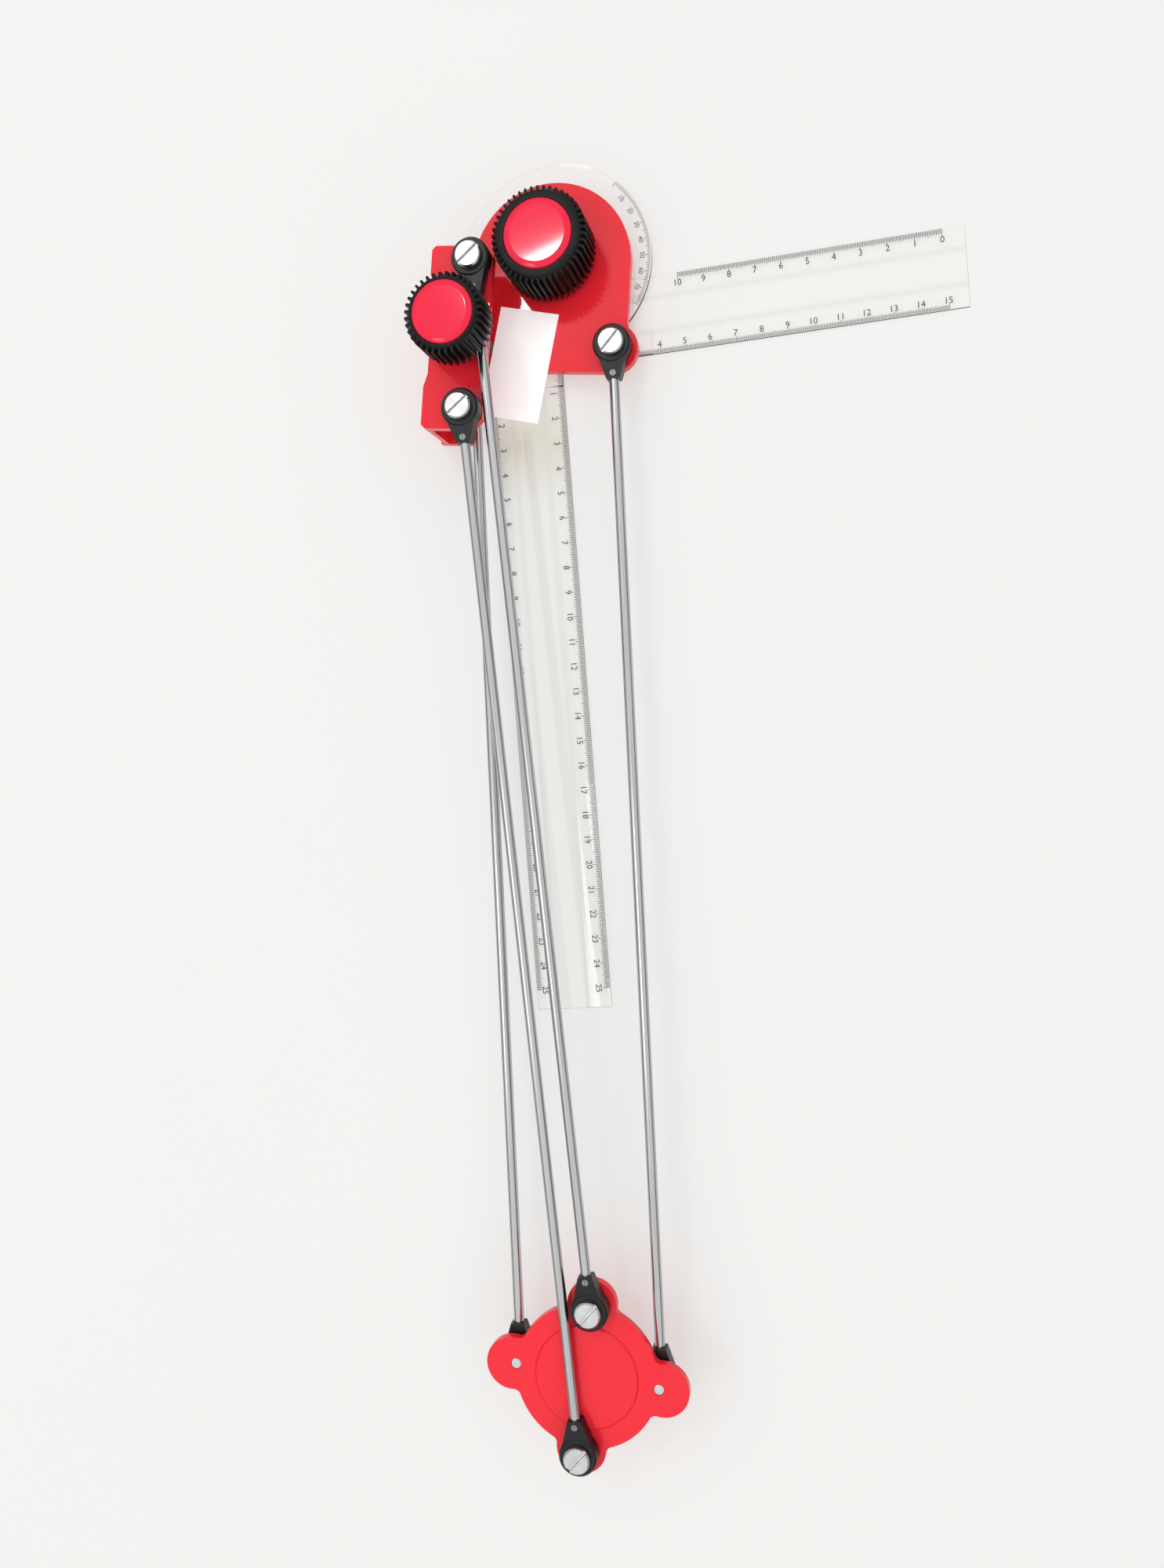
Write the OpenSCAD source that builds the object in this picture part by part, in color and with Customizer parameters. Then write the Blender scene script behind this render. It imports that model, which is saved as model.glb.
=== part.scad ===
// Folding arm drafting machine: a board clamp, two parallel-rod arms joined by an elbow plate,
// and a head with a lock knob, a protractor disc and a clear square with a long and a short blade.
// Millimetres, +Z up. The origin is the head's turning axis on the plane of the drawing sheet,
// +X runs along the short blade and -Y along the long blade. The machine is drawn folded.

/* [Arms] */
// Distance between the two pivots at each end of an arm
pivot_gap = 56.6; // [50:0.1:62]
// Length of the clamp arm from pivot to pivot
arm_l = 403.7; // [300:0.1:500]
// Length of the head arm from pivot to pivot
head_arm_l = 401.7; // [300:0.1:500]
// Direction from the elbow to the clamp, in degrees from +X
clamp_arm_dir = 92.05; // [90:0.01:100]
// Direction from the elbow to the head, in degrees from +X
head_arm_dir = 88.47; // [80:0.01:89]
// Turn of the clamp, the elbow and the head, in degrees from +X
set_tilt = -8.8; // [-12:0.1:-6]
// Diameter of the steel rods
rod_d = 4; // [3:0.1:4.4]

/* [Rod ends] */
// Radius of the eye at the end of a rod
eye_r = 7.4; // [6:0.1:7.6]
// Height of the eye
eye_h = 6.4; // [6:0.1:6.4]
// Distance from the pivot to the end of the neck
neck_l = 13.5; // [13:0.5:18]
// Width of the neck where the rod goes in
neck_w = 5.4; // [5:0.1:7]

/* [Clamp] */
// Height of the clamp's top face
clamp_h = 28; // [28:0.5:30]
// Thickness of the clamp's top plate
clamp_top_t = 4; // [3.5:0.1:4.5]
// Length of the clamp's top plate along its pivot line
clamp_l = 70; // [68:1:80]
// Thickness of the lower jaw
jaw_t = 3; // [2.5:0.1:3.5]
// Radius of the clamp knob
clamp_knob_r = 15.2; // [13:0.1:15.5]
// Height of the clamp knob
clamp_knob_h = 16.8; // [14:0.1:20]

/* [Elbow] */
// Radius of the round middle of the elbow plate
elbow_r = 28.2; // [25:0.1:29]
// Radius of the two lobes of the elbow plate that carry the clamp arm
lobe_r = 9.8; // [9:0.1:10]
// Radius of the two lobes of the elbow plate that carry the head arm
side_lobe_r = 10.3; // [9:0.1:10.6]
// Thickness of the elbow plate
elbow_t = 3.5; // [3:0.1:4]

/* [Head] */
// Radius of the head plate
head_r = 32; // [29:0.5:34]
// Distance from the head's pivot line to its turning axis
head_reach = 35.1; // [33:0.1:38]
// Radius of the lock knob
lock_knob_r = 18.4; // [16:0.1:18.6]
// Height of the lock knob
lock_knob_h = 22; // [18:0.5:26]

/* [Scales] */
// Radius of the protractor disc
disc_r = 39; // [36:0.5:39]
// Width of both blades of the square
blade_w = 30.5; // [28:0.5:31]
// Length of the long blade below the inner corner of the square
long_l = 258; // [200:1:320]
// Length of the short blade beyond the inner corner of the square
short_l = 157.5; // [120:0.5:200]
// Thickness of the blades
blade_t = 2.5; // [2:0.1:2.5]

/* [Hidden] */

$fn = 96;
red = [0.90, 0.10, 0.12];
black = [0.09, 0.09, 0.11];
steel = [0.76, 0.77, 0.79];
brass = [0.78, 0.62, 0.30];
clear = [0.86, 0.90, 0.90, 0.45];

// Working gaps: a turning fit, a loose fit at an open pivot, a fixed fit and a small cut-through
fit = 0.05;
loose = 0.3;
snug = 0.02;
cut = 1;

// Stack on a pivot, counted up from the face that carries it
washer_t = 0.5;
eye_z = 0.6;
eye_top = eye_z + eye_h;
axis_z = eye_z + eye_h / 2;
head_gap = 0.1;
screw_head_t = 2.5;
screw_head_r = 5.1;
shoulder_r = 2.5;
thread_r = 2;
slot_w = 1.3;
slot_depth = 1.2;
washer_r = 5.5;

// Heights of the carrying faces
head_top = 10;
head_t = 4;
elbow_top = clamp_h;
elbow_under = elbow_top - elbow_t;
upper_axis = clamp_h + axis_z;
lower_axis = elbow_under - axis_z;
head_axis = head_top + axis_z;

// Places of the three carriers, each at the middle of its pivot line
half_gap = pivot_gap / 2;
head_shift = 0.5;
function dir(a) = [cos(a), sin(a)];
head_pos = -(head_shift * dir(set_tilt) + head_reach * dir(set_tilt + 90));
elbow_pos = head_pos - head_arm_l * dir(head_arm_dir);
clamp_pos = elbow_pos + arm_l * dir(clamp_arm_dir);
function on_clamp(u, v) = clamp_pos + u * dir(set_tilt) + v * dir(set_tilt + 90);
function on_elbow(u, v) = elbow_pos + u * dir(set_tilt) + v * dir(set_tilt + 90);
function on_head(u, v) = head_pos + u * dir(set_tilt) + v * dir(set_tilt + 90);
function lift(p, z) = [p.x, p.y, z];

// Pivot points on the drawing plane
clamp_a = on_clamp(0, half_gap);
clamp_b = on_clamp(0, -half_gap);
elbow_upper_a = on_elbow(0, half_gap);
elbow_upper_b = on_elbow(0, -half_gap);
elbow_lower_a = on_elbow(half_gap, 0);
elbow_lower_b = on_elbow(-half_gap, 0);
head_a = on_head(half_gap, 0);
head_b = on_head(-half_gap, 0);

module at_clamp() {
    translate(lift(clamp_pos, 0)) rotate(set_tilt) children();
}

module at_elbow() {
    translate(lift(elbow_pos, 0)) rotate(set_tilt) children();
}

module at_head() {
    translate(lift(head_pos, 0)) rotate(set_tilt) children();
}

// Pivot hardware, upright with the carrying face at z = 0

module pivot_screw(thread_l) {
    translate([0, 0, -thread_l]) cylinder(r = thread_r, h = thread_l);
    cylinder(r = shoulder_r, h = eye_top + head_gap);
    translate([0, 0, eye_top + head_gap]) difference() {
        rotate_extrude() polygon([
            [0, 0], [screw_head_r, 0], [screw_head_r, screw_head_t - 0.6],
            [screw_head_r - 0.6, screw_head_t], [0, screw_head_t]
        ]);
        rotate(45) translate([-screw_head_r - cut, -slot_w / 2, screw_head_t - slot_depth])
            cube([2 * (screw_head_r + cut), slot_w, slot_depth + cut]);
    }
}

module pivot_washer() {
    difference() {
        cylinder(r = washer_r, h = washer_t);
        translate([0, 0, -cut]) cylinder(r = shoulder_r + fit, h = washer_t + 2 * cut);
    }
}

// Rod ends and rods. A rod end has its pivot at the origin and its neck along +X.

rod_r = rod_d / 2;
socket_start = 8;
neck_h = 5.4;
eye_bevel = 0.7;
grub_x = 11.5;
grub_r = 1.2;
grub_lip = 0.2;

module rod_end(bore_r, slope) {
    difference() {
        union() {
            rotate_extrude() polygon([
                [0, eye_z], [eye_r - eye_bevel, eye_z], [eye_r, eye_z + eye_bevel],
                [eye_r, eye_top - eye_bevel], [eye_r - eye_bevel, eye_top], [0, eye_top]
            ]);
            translate([0, 0, axis_z - neck_h / 2]) linear_extrude(neck_h) polygon([
                [0, eye_r - 0.3], [neck_l, neck_w / 2], [neck_l, -neck_w / 2], [0, -eye_r + 0.3]
            ]);
        }
        translate([0, 0, -cut]) cylinder(r = bore_r, h = eye_top + 2 * cut);
        translate([0, 0, axis_z]) rotate([0, 90 - slope, 0])
            translate([0, 0, socket_start]) cylinder(r = rod_r + snug, h = neck_l);
        translate([grub_x, 0, axis_z]) cylinder(r = grub_r + snug, h = neck_h);
    }
}

module grub_screw() {
    low = axis_z + rod_r + 0.3;
    high = axis_z + neck_h / 2 + grub_lip;
    difference() {
        translate([grub_x, 0, low]) cylinder(r = grub_r, h = high - low);
        translate([grub_x - 2, -0.2, high - 0.35]) cube([4, 0.4, cut]);
    }
}

// Puts a rod end's parts on pivot p, on a face at height z, pointing along angle a
module on_pivot(p, z, a) {
    translate(lift(p, z)) rotate(a) children();
}

// The same for a pivot that hangs from a face, with the neck still along angle a
module under_pivot(p, z, a) {
    translate(lift(p, z)) rotate(a) mirror([0, 0, 1]) children();
}

// A rod whose ends stop short of the two pivots it joins
module rod_between(p, q) {
    flat = norm([q.x - p.x, q.y - p.y]);
    rise = q.z - p.z;
    translate(p) rotate([0, 90 - atan2(rise, flat), atan2(q.y - p.y, q.x - p.x)])
        translate([0, 0, socket_start + 0.3]) cylinder(r = rod_r, h = norm(q - p) - 2 * socket_start - 0.6);
}

arm_slope = atan2(lower_axis - head_axis, head_arm_l);

// Clamp. Its frame has v along the pivot line and u across it, and the mouth opens towards +u.

wall_in = -13.8;
wall_out = -17.5;
waist_out = -16;
clamp_right = 7.2;
mouth_top = clamp_h - clamp_top_t;
screw_u = -3.3;
screw_v = 1.7;
press_r = 4;
press_boss_r = 5.6;
press_boss_h = 3;
pad_r = 6;
pad_t = 2.5;
pad_z = 20;
recess_top = clamp_h - 1.4;
jaw_low = -35;
jaw_high = 8;
jaw_tip = -1.6;

module clamp_outline() {
    polygon([
        [wall_out + 1.5, -clamp_l / 2], [clamp_right - 4, -clamp_l / 2], [clamp_right, -clamp_l / 2 + 4],
        [clamp_right, clamp_l / 2 - 4], [clamp_right - 4, clamp_l / 2], [wall_out + 1.5, clamp_l / 2],
        [wall_out, clamp_l / 2 - 1.5], [wall_out, 24], [waist_out, 21],
        [waist_out, -14], [wall_out, -19], [wall_out, -clamp_l / 2 + 1.5]
    ]);
}

module wall_outline() {
    intersection() {
        clamp_outline();
        translate([wall_out, -clamp_l / 2]) square([wall_in - wall_out, clamp_l]);
    }
}

module clamp_body() {
    color(red) at_clamp() difference() {
        union() {
            translate([0, 0, mouth_top]) linear_extrude(clamp_top_t) clamp_outline();
            linear_extrude(mouth_top + 0.01) wall_outline();
            translate([wall_out, jaw_low, 0]) cube([jaw_tip - wall_out, jaw_high - jaw_low, jaw_t]);
            translate([screw_u, screw_v, clamp_h]) cylinder(r = press_boss_r, h = press_boss_h);
        }
        translate([screw_u, screw_v, pad_z]) cylinder(r = press_r + fit, h = clamp_h);
        translate([screw_u, screw_v, pad_z]) cylinder(r = pad_r + loose, h = recess_top - pad_z);
        for (v = [-half_gap, half_gap])
            translate([0, v, pad_z]) cylinder(r = thread_r + snug, h = clamp_h);
    }
}

module clamp_pivot_screws() {
    color(steel) {
        on_pivot(clamp_a, clamp_h, set_tilt) pivot_screw(clamp_top_t);
        on_pivot(clamp_b, clamp_h, set_tilt) pivot_screw(clamp_top_t);
    }
}

module clamp_pivot_washers() {
    color(black) {
        on_pivot(clamp_a, clamp_h, 0) pivot_washer();
        on_pivot(clamp_b, clamp_h, 0) pivot_washer();
    }
}

// Press screw: a swivel pad that only slides, and a screw with a knob that turns in it

ball_r = 2.2;
knob_gap = 3.9;
clamp_knob_z = clamp_h + press_boss_h + knob_gap;
clamp_knob_top = clamp_knob_z + clamp_knob_h;
screw_top = clamp_knob_top - 4;

module at_press() {
    at_clamp() translate([screw_u, screw_v, 0]) children();
}

module press_pad() {
    color(black) at_press() difference() {
        rotate_extrude() polygon([
            [0, pad_z], [pad_r - 0.5, pad_z], [pad_r, pad_z + 0.5],
            [pad_r, pad_z + pad_t], [0, pad_z + pad_t]
        ]);
        translate([0, 0, pad_z + 0.8]) cylinder(r = ball_r + fit, h = pad_t);
    }
}

module press_screw() {
    color(steel) at_press() {
        translate([0, 0, pad_z + 0.8 + fit]) cylinder(r = ball_r, h = pad_t - 0.6);
        translate([0, 0, pad_z + pad_t + 0.1]) cylinder(r = press_r, h = screw_top - pad_z - pad_t - 0.1);
    }
}

// Outline of a ribbed grip with n ribs, as one ring of corners
function rib_ring(n, r_low, r_high) = [
    for (i = [0 : n - 1], c = [[0.20, r_low], [0.34, r_high], [0.66, r_high], [0.80, r_low]])
        c[1] * dir(360 * (i + c[0]) / n)
];

// A knob standing on z = 0: ribbed skirt, bevelled crown, a hollow underside and a recess for the cap
module knob_shell(r, h, ribs, cap_r, hub_r, insert_r) {
    rib_h = 2;
    crown = 0.5;
    skirt_r = r - rib_h;
    difference() {
        union() {
            translate([0, 0, 0.6]) linear_extrude(h - crown - 0.8) polygon(rib_ring(ribs, skirt_r, r));
            rotate_extrude() polygon([
                [0, 0], [skirt_r - 0.6, 0], [skirt_r, 0.6],
                [skirt_r, h - crown], [skirt_r - crown, h], [0, h]
            ]);
        }
        translate([0, 0, h - 1.2]) cylinder(r = cap_r + snug, h = 1.2 + cut);
        translate([0, 0, -cut]) cylinder(r = insert_r + snug, h = h - 3.6 + cut);
        translate([0, 0, -cut]) rotate_extrude()
            translate([hub_r, 0]) square([skirt_r - 2.6 - hub_r, h - 5 + cut]);
    }
}

module knob_insert(r, h, bore_r) {
    difference() {
        cylinder(r = r, h = h);
        translate([0, 0, -cut]) cylinder(r = bore_r, h = h + 2 * cut);
    }
}

module knob_cap(r) {
    rotate_extrude() polygon([[0, 0], [r, 0], [r, 1.3], [r - 0.8, 1.9], [0, 1.9]]);
}

clamp_ribs = 36;
clamp_cap_r = clamp_knob_r - 3.5;
clamp_insert_r = 6;

module clamp_knob() {
    color(black) at_press() translate([0, 0, clamp_knob_z])
        knob_shell(clamp_knob_r, clamp_knob_h, clamp_ribs, clamp_cap_r, 8, clamp_insert_r);
}

module clamp_knob_insert() {
    color(brass) at_press() translate([0, 0, clamp_knob_z + 0.4])
        knob_insert(clamp_insert_r, clamp_knob_h - 4.4, press_r + snug);
}

module clamp_knob_cap() {
    color(red) at_press() translate([0, 0, clamp_knob_top - 1.2]) knob_cap(clamp_cap_r);
}

// Clamp arm: two parallel rods on top of the clamp and the elbow

to_elbow = clamp_arm_dir + 180;

module clamp_rod_a() {
    color(steel) rod_between(lift(clamp_a, upper_axis), lift(elbow_upper_a, upper_axis));
}

module clamp_rod_a_clamp_end() {
    color(black) on_pivot(clamp_a, clamp_h, to_elbow) rod_end(shoulder_r + fit, 0);
}

module clamp_rod_a_elbow_end() {
    color(black) on_pivot(elbow_upper_a, elbow_top, clamp_arm_dir) rod_end(shoulder_r + fit, 0);
}

module clamp_rod_a_grub_screws() {
    color(steel) {
        on_pivot(clamp_a, clamp_h, to_elbow) grub_screw();
        on_pivot(elbow_upper_a, elbow_top, clamp_arm_dir) grub_screw();
    }
}

module clamp_rod_b() {
    color(steel) rod_between(lift(clamp_b, upper_axis), lift(elbow_upper_b, upper_axis));
}

module clamp_rod_b_clamp_end() {
    color(black) on_pivot(clamp_b, clamp_h, to_elbow) rod_end(shoulder_r + fit, 0);
}

// This end closes the parallelogram, so its bore is a loose fit
module clamp_rod_b_elbow_end() {
    color(black) on_pivot(elbow_upper_b, elbow_top, clamp_arm_dir) rod_end(shoulder_r + loose, 0);
}

module clamp_rod_b_grub_screws() {
    color(steel) {
        on_pivot(clamp_b, clamp_h, to_elbow) grub_screw();
        on_pivot(elbow_upper_b, elbow_top, clamp_arm_dir) grub_screw();
    }
}

// Elbow plate: a disc with four lobes, two pivots on top of it and two below

// Fills the notch between two circles with a round of radius rf, on the side that s gives.
// The round cuts a little way into both circles, so that their edges cross cleanly.
module notch_fill(c1, r1, c2, r2, rf, s) {
    bite = 0.05;
    span = norm(c2 - c1);
    a = r1 + rf - bite;
    b = r2 + rf - bite;
    base = atan2(c2.y - c1.y, c2.x - c1.x);
    turn = acos((a * a + span * span - b * b) / (2 * a * span));
    cf = c1 + a * dir(base + s * turn);
    difference() {
        polygon([c1, c2, cf]);
        translate(cf) circle(r = rf);
    }
}

centre_r = 20.6;
centre_rise = 0.8;

// The lobes of the head arm are larger and their rounds stand further out than their pivots
side_lobe_out = 1.5;
LOBES = [
    [0, half_gap + side_lobe_out, side_lobe_r], [90, half_gap, lobe_r],
    [180, half_gap + side_lobe_out, side_lobe_r], [270, half_gap, lobe_r]
];

module elbow_outline() {
    circle(r = elbow_r);
    for (lobe = LOBES) {
        centre = lobe[1] * dir(lobe[0]);
        translate(centre) circle(r = lobe[2]);
        for (s = [-1, 1]) notch_fill([0, 0], elbow_r, centre, lobe[2], 3, s);
    }
}

module elbow_plate() {
    color(red) at_elbow() difference() {
        union() {
            translate([0, 0, elbow_under]) linear_extrude(elbow_t) elbow_outline();
            translate([0, 0, elbow_top])
                cylinder(r1 = centre_r, r2 = centre_r - centre_rise, h = centre_rise);
        }
        for (i = [0 : 3]) translate(lift(half_gap * dir(90 * i), elbow_under - cut))
            cylinder(r = thread_r + snug, h = elbow_t + 2 * cut);
    }
}

module elbow_upper_screws() {
    color(steel) {
        on_pivot(elbow_upper_a, elbow_top, 0) pivot_screw(elbow_t - 0.3);
        on_pivot(elbow_upper_b, elbow_top, 0) pivot_screw(elbow_t - 0.3);
    }
}

module elbow_upper_washers() {
    color(black) {
        on_pivot(elbow_upper_a, elbow_top, 0) pivot_washer();
        on_pivot(elbow_upper_b, elbow_top, 0) pivot_washer();
    }
}

module elbow_lower_screws() {
    color(steel) {
        under_pivot(elbow_lower_a, elbow_under, 0) pivot_screw(elbow_t - 0.3);
        under_pivot(elbow_lower_b, elbow_under, 0) pivot_screw(elbow_t - 0.3);
    }
}

module elbow_lower_washers() {
    color(black) {
        under_pivot(elbow_lower_a, elbow_under, 0) pivot_washer();
        under_pivot(elbow_lower_b, elbow_under, 0) pivot_washer();
    }
}

// Head arm: two parallel rods from below the elbow down to the top of the head plate

from_head = head_arm_dir + 180;

module head_rod_a() {
    color(steel) rod_between(lift(elbow_lower_a, lower_axis), lift(head_a, head_axis));
}

module head_rod_a_elbow_end() {
    color(black) under_pivot(elbow_lower_a, elbow_under, head_arm_dir) rod_end(shoulder_r + fit, arm_slope);
}

module head_rod_a_head_end() {
    color(black) on_pivot(head_a, head_top, from_head) rod_end(shoulder_r + fit, arm_slope);
}

module head_rod_a_grub_screws() {
    color(steel) {
        under_pivot(elbow_lower_a, elbow_under, head_arm_dir) grub_screw();
        on_pivot(head_a, head_top, from_head) grub_screw();
    }
}

module head_rod_b() {
    color(steel) rod_between(lift(elbow_lower_b, lower_axis), lift(head_b, head_axis));
}

module head_rod_b_elbow_end() {
    color(black) under_pivot(elbow_lower_b, elbow_under, head_arm_dir) rod_end(shoulder_r + fit, arm_slope);
}

// This end closes the parallelogram, so its bore is a loose fit
module head_rod_b_head_end() {
    color(black) on_pivot(head_b, head_top, from_head) rod_end(shoulder_r + loose, arm_slope);
}

module head_rod_b_grub_screws() {
    color(steel) {
        under_pivot(elbow_lower_b, elbow_under, head_arm_dir) grub_screw();
        on_pivot(head_b, head_top, from_head) grub_screw();
    }
}

// Head: a plate with two lobes for the arm, a bush for the spindle and a friction ring below

head_lobe_r = 9.3;
head_centre = [head_shift - 0.2, head_reach - 3];
flank_top = head_centre.x + head_r - 0.1;
flank_low = flank_top + 0.8;
flank_fill = 4;
spindle_r = 4;
bush_r = 6.5;
ring_r = 15;

module head_outline() {
    translate(head_centre) circle(r = head_r);
    polygon([[0, 0], [flank_low, 0], [flank_top, head_centre.y], [0, head_centre.y]]);
    translate([-half_gap, -head_lobe_r]) square([pivot_gap, 2 * head_lobe_r]);
    for (s = [-1, 1]) translate([s * half_gap, 0]) circle(r = head_lobe_r);
}

// The left lobe meets the round of the plate, and the right one meets its straight flank
module head_notch_fills() {
    notch_fill(head_centre, head_r, [-half_gap, 0], head_lobe_r, 5, -1);
    bite = 0.05;
    fill_u = flank_low - 0.25 + flank_fill - bite;
    fill_v = sqrt(max(1, pow(head_lobe_r + flank_fill - bite, 2) - pow(fill_u - half_gap, 2)));
    difference() {
        polygon([[half_gap, 0], [fill_u, fill_v], [half_gap, fill_v]]);
        translate([fill_u, fill_v]) circle(r = flank_fill);
    }
}

module head_plate() {
    color(red) difference() {
        at_head() {
            translate([0, 0, head_top - head_t]) linear_extrude(head_t) head_outline();
            translate([0, 0, head_top - head_t]) linear_extrude(head_t) head_notch_fills();
        }
        cylinder(r = bush_r + snug, h = head_top + cut);
        for (p = [head_a, head_b]) translate(lift(p, 0)) cylinder(r = thread_r + snug, h = head_top + cut);
    }
}

module head_pivot_screws() {
    color(steel) {
        on_pivot(head_a, head_top, 0) pivot_screw(head_t);
        on_pivot(head_b, head_top, 0) pivot_screw(head_t);
    }
}

module head_pivot_washers() {
    color(black) {
        on_pivot(head_a, head_top, 0) pivot_washer();
        on_pivot(head_b, head_top, 0) pivot_washer();
    }
}

module head_bush() {
    color(brass) difference() {
        union() {
            translate([0, 0, head_top - head_t]) cylinder(r = bush_r, h = head_t);
            translate([0, 0, head_top]) cylinder(r = bush_r + 2, h = 0.6);
        }
        cylinder(r = spindle_r + fit, h = head_top + 2 * cut);
    }
}

module friction_ring() {
    low = blade_t + disc_t + 0.1;
    color(black) difference() {
        translate([0, 0, low]) cylinder(r = ring_r, h = head_top - head_t - low);
        cylinder(r = spindle_r + 0.5, h = head_top);
    }
}

// Blank paper tag lying on the head plate and reaching past its lower edge

tag_w = 24;
tag_l = 43;
tag_t = 0.4;
tag_turn = -16.2;
tag_corner = [1.1, -22.8];

module blank_tag() {
    color("white") translate(lift(tag_corner, head_top + 0.1)) rotate(tag_turn)
        translate([-tag_w, -tag_l, 0]) cube([tag_w, tag_l, tag_t]);
}

// Scales: the square is screwed under the protractor disc, which is riveted to the spindle

disc_t = 2;
corner_x = -1.1;
corner_y = -40.6;
bevel_w = 8.6;
edge_t = 1.2;
flat_x = 36;
flat_y = -48;
spindle_flange_r = 9;
spindle_top = head_top + 1.4 + lock_knob_h - 5;

// Cross-section of a blade: flat underside and a bevel along each edge
module blade_section() {
    polygon([
        [0, 0], [blade_w, 0], [blade_w, edge_t],
        [blade_w - bevel_w, blade_t], [bevel_w, blade_t], [0, edge_t]
    ]);
}

// Corner of the square, full thickness, with its outer corner cut off
module square_corner() {
    left = corner_x - blade_w;
    top = corner_y + blade_w;
    polygon([
        [left, flat_y], [corner_x, flat_y], [corner_x, corner_y], [flat_x, corner_y],
        [flat_x, top], [left + 19, top], [left, corner_y - 2]
    ]);
}

module blade_square() {
    color(clear) difference() {
        union() {
            linear_extrude(blade_t) square_corner();
            translate([corner_x - blade_w, flat_y + 0.01, 0]) rotate([90, 0, 0])
                linear_extrude(long_l - corner_y + flat_y) blade_section();
            translate([flat_x - 0.01, corner_y, 0]) rotate([90, 0, 90])
                linear_extrude(short_l + corner_x - flat_x) blade_section();
        }
        for (p = screw_points) translate(lift(p, -cut))
            cylinder(r = scale_screw_r + snug, h = blade_t + 2 * cut);
    }
}

scale_screw_r = 1.2;
scale_screw_head_r = 2.4;
screw_points = [[-16, -28], [1, -32], [18, -28]];
rivet_r = 0.9;
rivet_ring = 6.4;

module protractor_disc() {
    color(clear) difference() {
        translate([0, 0, blade_t]) cylinder(r = disc_r, h = disc_t);
        cylinder(r = spindle_r + snug, h = head_top);
        for (p = screw_points) {
            translate(lift(p, 0)) cylinder(r = scale_screw_r + snug, h = head_top);
            translate(lift(p, blade_t + disc_t - 1.2))
                cylinder(r1 = scale_screw_r + snug, r2 = scale_screw_head_r + snug, h = 1.2);
        }
        for (i = [0 : 2]) translate(lift(rivet_ring * dir(90 + 120 * i), 0))
            cylinder(r = rivet_r + snug, h = head_top);
    }
}

module centre_spindle() {
    color(steel) difference() {
        union() {
            cylinder(r = spindle_flange_r, h = blade_t - 0.02);
            cylinder(r = spindle_r, h = spindle_top);
        }
        for (i = [0 : 2]) translate(lift(rivet_ring * dir(90 + 120 * i), -cut))
            cylinder(r = rivet_r + snug, h = blade_t + 2 * cut);
    }
}

module hub_rivets() {
    color(steel) for (i = [0 : 2]) translate(lift(rivet_ring * dir(90 + 120 * i), 0.2))
        cylinder(r = rivet_r, h = blade_t + disc_t - 0.2);
}

module scale_screws() {
    color(steel) for (p = screw_points) {
        translate(lift(p, 0.3)) cylinder(r = scale_screw_r, h = blade_t + disc_t - 0.4);
        translate(lift(p, blade_t + disc_t - 1.18))
            cylinder(r1 = scale_screw_r, r2 = scale_screw_head_r, h = 1.16);
    }
}

// Lock knob: its brass insert runs on the spindle and a spring washer lies between it and the bush

lock_knob_z = head_top + 1.4;
lock_ribs = 46;
lock_cap_r = lock_knob_r - 5.2;
lock_insert_r = 7;

module spring_washer() {
    color(steel) difference() {
        translate([0, 0, head_top + 0.62]) cylinder(r = 8, h = 0.68);
        cylinder(r = spindle_r + 0.4, h = head_top + 3);
    }
}

module lock_knob() {
    color(black) translate([0, 0, lock_knob_z])
        knob_shell(lock_knob_r, lock_knob_h, lock_ribs, lock_cap_r, 9.5, lock_insert_r);
}

module lock_knob_insert() {
    color(brass) translate([0, 0, lock_knob_z + 0.2])
        knob_insert(lock_insert_r, lock_knob_h - 4, spindle_r + fit);
}

module lock_knob_cap() {
    color(red) translate([0, 0, lock_knob_z + lock_knob_h - 1.2]) knob_cap(lock_cap_r);
}

clamp_body();
clamp_pivot_screws();
clamp_pivot_washers();
press_pad();
press_screw();
clamp_knob();
clamp_knob_insert();
clamp_knob_cap();
clamp_rod_a();
clamp_rod_a_clamp_end();
clamp_rod_a_elbow_end();
clamp_rod_a_grub_screws();
clamp_rod_b();
clamp_rod_b_clamp_end();
clamp_rod_b_elbow_end();
clamp_rod_b_grub_screws();
elbow_plate();
elbow_upper_screws();
elbow_upper_washers();
elbow_lower_screws();
elbow_lower_washers();
head_rod_a();
head_rod_a_elbow_end();
head_rod_a_head_end();
head_rod_a_grub_screws();
head_rod_b();
head_rod_b_elbow_end();
head_rod_b_head_end();
head_rod_b_grub_screws();
head_plate();
head_pivot_screws();
head_pivot_washers();
head_bush();
friction_ring();
blank_tag();
protractor_disc();
blade_square();
centre_spindle();
hub_rivets();
scale_screws();
lock_knob();
lock_knob_insert();
lock_knob_cap();
spring_washer();
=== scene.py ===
"""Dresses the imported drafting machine: finishes, ribbed knobs, graduations and a plain studio.

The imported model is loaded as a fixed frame. Nodes whose shape is right keep their mesh and get a
finish and rounded edges. Knobs, caps and graduations are surfaces computed with numpy.
Everything is in metres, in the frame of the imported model.
"""

import math

import bpy
import numpy as np
from mathutils import Matrix, Vector


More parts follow.
